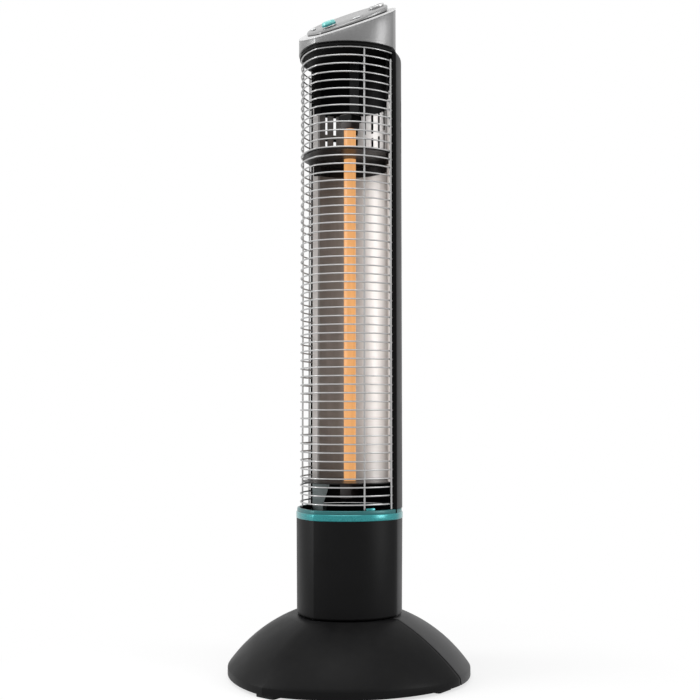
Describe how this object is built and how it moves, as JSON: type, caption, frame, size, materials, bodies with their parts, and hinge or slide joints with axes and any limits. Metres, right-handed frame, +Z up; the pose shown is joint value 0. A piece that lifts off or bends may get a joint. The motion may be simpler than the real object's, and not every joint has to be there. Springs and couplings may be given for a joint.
{
  "type": "radiant tower heater",
  "caption": "Tall radiant heater with a glowing upright tube behind a wire guard, a sloping control head and a domed base on which the column turns.",
  "frame": {"origin": "middle of the base's footprint, on the floor under the rubber feet", "axes": "+Z up, -Y out of the nose of the wire guard, +X to the right seen from the front"},
  "size_m": [0.2888, 0.2854, 0.7995],
  "materials": {
    "base_front_plastic": "satin charcoal",
    "front_plastic": "satin black",
    "rear_plastic": "satin grey",
    "black_plastic": "fine matt",
    "rubber": "matt",
    "ballast_iron": "as cast",
    "plated_steel": "zinc plated",
    "pale_nylon": "natural nylon",
    "motor_can": "pressed can",
    "switch_plastic": "moulded",
    "teal_ring": "satin teal",
    "ceramic": "unglazed ceramic",
    "guard_wire": "plated wire",
    "chamber_sheet": "bright sheet",
    "bright_sheet": "polished",
    "vent_sheet": "bright sheet",
    "tube_glass": "clear quartz",
    "glowing_filament": "glowing orange",
    "silver_cap": "metallic silver",
    "silver_pod": "metallic silver",
    "circuit_board": "bare board",
    "teal_knob": "satin teal",
    "silver_knob": "satin silver",
    "white_button": "satin white"
  },
  "bodies": {
    "base": {"base_front_shell": "base_front_plastic", "base_rear_shell": "rear_plastic", "base_plate": "black_plastic", "rubber_feet": "rubber", "ballast_weight": "ballast_iron", "cord_inlet": "rubber", "bearing_plate": "plated_steel", "thrust_washer": "pale_nylon", "oscillation_motor": "motor_can", "tilt_switch": "switch_plastic"},
    "tower": {"sector_gear": "pale_nylon", "turntable": "black_plastic", "hub_nut": "plated_steel", "lower_front_cover": "front_plastic", "lower_rear_cover": "rear_plastic", "trim_ring": "teal_ring", "lower_deck": "black_plastic", "terminal_block": "ceramic", "wire_grille": "guard_wire", "end_uprights": "guard_wire", "side_pillar_right": "black_plastic", "side_pillar_left": "black_plastic", "lower_plate": "chamber_sheet", "mid_plate": "chamber_sheet", "reflector": "bright_sheet", "vent_screen": "vent_sheet", "rear_shell": "rear_plastic", "quartz_tube": "tube_glass", "carbon_filament": "glowing_filament", "tube_caps": "ceramic", "tube_hanger": "plated_steel", "thermal_cutout": "switch_plastic", "wiring_shield": "chamber_sheet", "top_frame": "black_plastic", "top_cap": "silver_cap", "control_pod": "silver_pod", "control_board": "circuit_board", "power_switch": "switch_plastic", "timer_switch": "switch_plastic", "button_switches": "switch_plastic"},
    "pinion": {"drive_pinion": "pale_nylon"},
    "plunger": {"tilt_plunger": "pale_nylon"},
    "power_dial": {"power_knob": "teal_knob"},
    "timer_dial": {"timer_knob": "silver_knob"},
    "right_button": {"push_button_right": "white_button"},
    "left_button": {"push_button_left": "white_button"}
  },
  "joints": [
    {"name": "tower_swivel", "type": "hinge", "parent": "base", "child": "tower", "pos_m": [0, 0.00959, 0.06], "axis": [0, 0, 1], "range_deg": [-35, 35]},
    {"name": "pinion_spin", "type": "hinge", "parent": "base", "child": "pinion", "pos_m": [0, 0.07259, 0.05], "axis": [0, 0, 1], "range_deg": [-212, 212]},
    {"name": "tilt_plunger_drop", "type": "slide", "parent": "base", "child": "plunger", "axis": [0, 0, 1], "range_m": [-0.0035, 0], "stiffness_N_per_m": 60, "springref_m": -0.006},
    {"name": "power_knob_turn", "type": "hinge", "parent": "tower", "child": "power_dial", "pos_m": [0, -0.02962, 0.75428], "axis": [0, -0.512, 0.859], "range_deg": [-135, 135]},
    {"name": "timer_knob_turn", "type": "hinge", "parent": "tower", "child": "timer_dial", "pos_m": [0.0265, 0.02741, 0.78828], "axis": [0, -0.512, 0.859], "range_deg": [-300, 0]},
    {"name": "right_button_press", "type": "slide", "parent": "tower", "child": "right_button", "axis": [0, 0.512, -0.859], "range_m": [0, 0.0008], "stiffness_N_per_m": 500, "springref_m": -0.0005},
    {"name": "left_button_press", "type": "slide", "parent": "tower", "child": "left_button", "axis": [0, 0.512, -0.859], "range_m": [0, 0.0008], "stiffness_N_per_m": 500, "springref_m": -0.0005}
  ],
  "couplings": [
    {"joint": "pinion_spin", "follows": "tower_swivel", "ratio": -6}
  ]
}
